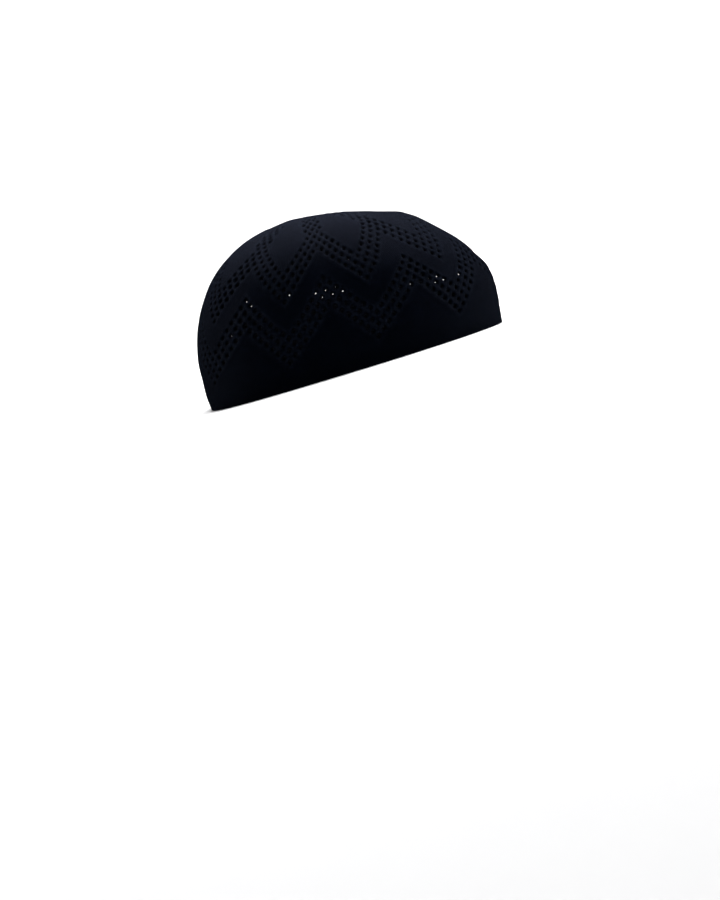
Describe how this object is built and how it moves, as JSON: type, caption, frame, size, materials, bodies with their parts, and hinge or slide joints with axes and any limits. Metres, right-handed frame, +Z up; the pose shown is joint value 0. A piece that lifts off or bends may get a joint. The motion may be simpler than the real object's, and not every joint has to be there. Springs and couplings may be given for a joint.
{
  "type": "knitted openwork skull cap",
  "caption": "Close-fitting brimless skull cap, one hollow knitted shell with zigzag bands of eyelets, standing on its rim.",
  "frame": {"origin": "centre of the cap's length and width, on the plane that its rim stands on", "axes": "+X to the front of the cap, +Y to the wearer's left, +Z up"},
  "size_m": [0.197, 0.1542, 0.1014],
  "materials": {
    "black_knit": "fine matt black machine knit with a slight blue cast and a soft fuzz"
  },
  "bodies": {
    "root": {"knitted_cap": "black_knit"}
  },
  "joints": []
}
